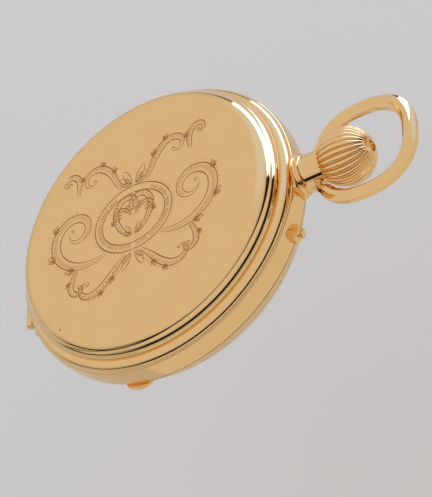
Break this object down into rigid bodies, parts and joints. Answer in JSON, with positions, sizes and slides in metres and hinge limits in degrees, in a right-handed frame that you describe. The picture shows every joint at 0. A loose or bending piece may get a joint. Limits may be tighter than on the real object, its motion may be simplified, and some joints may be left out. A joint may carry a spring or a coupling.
{
  "type": "hunter pocket watch",
  "caption": "Hunter-case pocket watch with hinged covers, ribbed crown, chain bow and a geared hand-wound movement.",
  "frame": {"origin": "centre of the back cover flat face that the watch lies on", "axes": "+Z out through the engraved front cover, +X along the pendant and crown (3 o clock), +Y towards 12 o clock"},
  "size_m": [0.0701, 0.0501, 0.0122],
  "materials": {
    "gold": "polished yellow gold",
    "gold_inner": "polished gold, plain",
    "gilt_brass": "gilt, fine brushed",
    "nickel": "nickel plate with damaskeen finish",
    "steel": "polished steel",
    "blued_steel": "heat blued",
    "ruby": "polished ruby",
    "crystal_glass": "clear mineral glass",
    "enamel": "white vitreous enamel with black numerals",
    "copper": "plain copper"
  },
  "bodies": {
    "case": {"case_middle": "gold", "cuvette_joint": "gold_inner", "hinge_pins": "gold", "bezel": "gold_inner", "crystal": "crystal_glass", "pendant": "gold", "stem_sleeve": "steel", "push_guard": "gold", "lift_spring": "steel", "main_plate": "nickel", "barrel_bridge": "nickel", "train_bridge": "nickel", "balance_cock": "nickel", "pallet_cock": "nickel", "bridge_screws": "steel", "case_screws": "steel", "jewels": "ruby", "hairspring": "blued_steel", "regulator": "steel", "crown_wheel_screw": "steel", "click_spring": "steel", "setting_stud": "steel", "dial": "enamel", "dial_feet": "copper", "minute_stud": "steel"},
    "front_cover": {"front_cover": "gold"},
    "back_cover": {"back_cover": "gold"},
    "cuvette": {"cuvette": "gold_inner"},
    "winding_pinion": {"winding_pinion": "steel", "clutch": "steel"},
    "crown": {"crown": "gold", "stem": "steel"},
    "bow": {"bow": "gold"},
    "push_pin": {"push_pin": "gold"},
    "lock_spring": {"lock_spring": "steel"},
    "setting_lever": {"setting_lever": "steel"},
    "barrel": {"barrel": "gilt_brass", "barrel_cover": "gilt_brass", "mainspring": "steel"},
    "ratchet": {"ratchet_wheel": "steel", "barrel_arbor": "steel"},
    "crown_wheel": {"crown_wheel": "steel"},
    "click": {"click": "steel"},
    "centre_wheel": {"centre_wheel": "gilt_brass", "cannon_pinion": "steel", "minute_hand": "blued_steel"},
    "third_wheel": {"third_wheel": "gilt_brass"},
    "fourth_wheel": {"fourth_wheel": "gilt_brass", "seconds_hand": "blued_steel"},
    "escape_wheel": {"escape_wheel": "steel"},
    "minute_wheel": {"minute_wheel": "gilt_brass"},
    "hour_wheel": {"hour_wheel": "gilt_brass", "hour_hand": "blued_steel"},
    "pallet_fork": {"pallet_fork": "steel", "pallet_stones": "ruby"},
    "balance": {"balance_wheel": "gilt_brass", "balance_staff": "steel", "roller": "steel"}
  },
  "joints": [
    {"name": "front_cover_hinge", "type": "hinge", "parent": "case", "child": "front_cover", "pos_m": [-0.02415, 0, 0.00725], "axis": [0, -1, 0], "range_deg": [0, 90]},
    {"name": "back_cover_hinge", "type": "hinge", "parent": "case", "child": "back_cover", "pos_m": [-0.02415, 0, 0.00495], "axis": [0, 1, 0], "range_deg": [0, 95]},
    {"name": "cuvette_hinge", "type": "hinge", "parent": "case", "child": "cuvette", "pos_m": [-0.022, 0, 0.0037], "axis": [0, 1, 0], "range_deg": [0, 76]},
    {"name": "winding_turn", "type": "hinge", "parent": "case", "child": "winding_pinion", "pos_m": [0.01675, 0, 0.0061], "axis": [1, 0, 0], "continuous": true},
    {"name": "crown_push", "type": "slide", "parent": "winding_pinion", "child": "crown", "axis": [-1, 0, 0], "range_m": [0, 0.0006], "stiffness_N_per_m": 1500},
    {"name": "lock_spring_flex", "type": "slide", "parent": "case", "child": "lock_spring", "axis": [-1, 0, 0], "range_m": [0, 0.0003]},
    {"name": "crown_wheel_turn", "type": "hinge", "parent": "case", "child": "crown_wheel", "pos_m": [0.0136, 0, 0.0033], "axis": [0, 0, 1], "continuous": true},
    {"name": "ratchet_turn", "type": "hinge", "parent": "case", "child": "ratchet", "pos_m": [0.00707, 0.00843, 0.0033], "axis": [0, 0, 1], "continuous": true},
    {"name": "click_tick", "type": "hinge", "parent": "case", "child": "click", "pos_m": [0.00019, 0.0124, 0.0033], "axis": [0, 0, 1], "range_deg": [0, 12], "stiffness_Nm_per_rad": 0.0002},
    {"name": "bow_swing", "type": "hinge", "parent": "case", "child": "bow", "pos_m": [0.0283, 0, 0.0061], "axis": [0, 1, 0], "range_deg": [-110, 110]},
    {"name": "push_pin_press", "type": "slide", "parent": "case", "child": "push_pin", "axis": [-0.9272, 0.3746, 0], "range_m": [0, 0.0008], "stiffness_N_per_m": 800},
    {"name": "setting_lever_swing", "type": "hinge", "parent": "case", "child": "setting_lever", "pos_m": [0.0152, -0.0102, 0.0055], "axis": [0, 0, 1], "range_deg": [0, 15]},
    {"name": "seconds_turn", "type": "hinge", "parent": "case", "child": "fourth_wheel", "pos_m": [0, -0.0096, 0.0055], "axis": [0, 0, -1], "continuous": true},
    {"name": "third_turn", "type": "hinge", "parent": "case", "child": "third_wheel", "pos_m": [0.00423, -0.00583, 0.0055], "axis": [0, 0, -1], "continuous": true},
    {"name": "minutes_turn", "type": "hinge", "parent": "case", "child": "centre_wheel", "pos_m": [0, 0, 0.0061], "axis": [0, 0, -1], "continuous": true},
    {"name": "minute_wheel_turn", "type": "hinge", "parent": "case", "child": "minute_wheel", "pos_m": [0.00312, -0.0018, 0.0079], "axis": [0, 0, -1], "continuous": true},
    {"name": "hours_turn", "type": "hinge", "parent": "case", "child": "hour_wheel", "pos_m": [0, 0, 0.0081], "axis": [0, 0, -1], "continuous": true},
    {"name": "barrel_turn", "type": "hinge", "parent": "case", "child": "barrel", "pos_m": [0.00707, 0.00843, 0.0051], "axis": [0, 0, -1], "continuous": true},
    {"name": "escape_turn", "type": "hinge", "parent": "case", "child": "escape_wheel", "pos_m": [-0.00506, -0.0096, 0.006], "axis": [0, 0, -1], "continuous": true},
    {"name": "pallet_rock", "type": "hinge", "parent": "case", "child": "pallet_fork", "pos_m": [-0.00725, -0.007, 0.006], "axis": [0, 0, 1], "range_deg": [-4, 4]},
    {"name": "balance_swing", "type": "hinge", "parent": "case", "child": "balance", "pos_m": [-0.01085, -0.00271, 0.004], "axis": [0, 0, 1], "range_deg": [-140, 140], "stiffness_Nm_per_rad": 0.000005}
  ],
  "couplings": [
    {"joint": "cuvette_hinge", "follows": "back_cover_hinge", "ratio": 0.8},
    {"joint": "lock_spring_flex", "follows": "crown_push", "ratio": 0.5},
    {"joint": "crown_wheel_turn", "follows": "winding_turn", "ratio": 0.53846},
    {"joint": "ratchet_turn", "follows": "winding_turn", "ratio": -0.35897},
    {"joint": "setting_lever_swing", "follows": "push_pin_press", "rad_per_m": 325.07},
    {"joint": "third_turn", "follows": "seconds_turn", "ratio": -0.13333},
    {"joint": "minutes_turn", "follows": "seconds_turn", "ratio": 0.016667},
    {"joint": "minute_wheel_turn", "follows": "seconds_turn", "ratio": -0.0055556},
    {"joint": "hours_turn", "follows": "seconds_turn", "ratio": 0.0013889},
    {"joint": "barrel_turn", "follows": "seconds_turn", "ratio": -0.0027778},
    {"joint": "escape_turn", "follows": "seconds_turn", "ratio": -10}
  ]
}
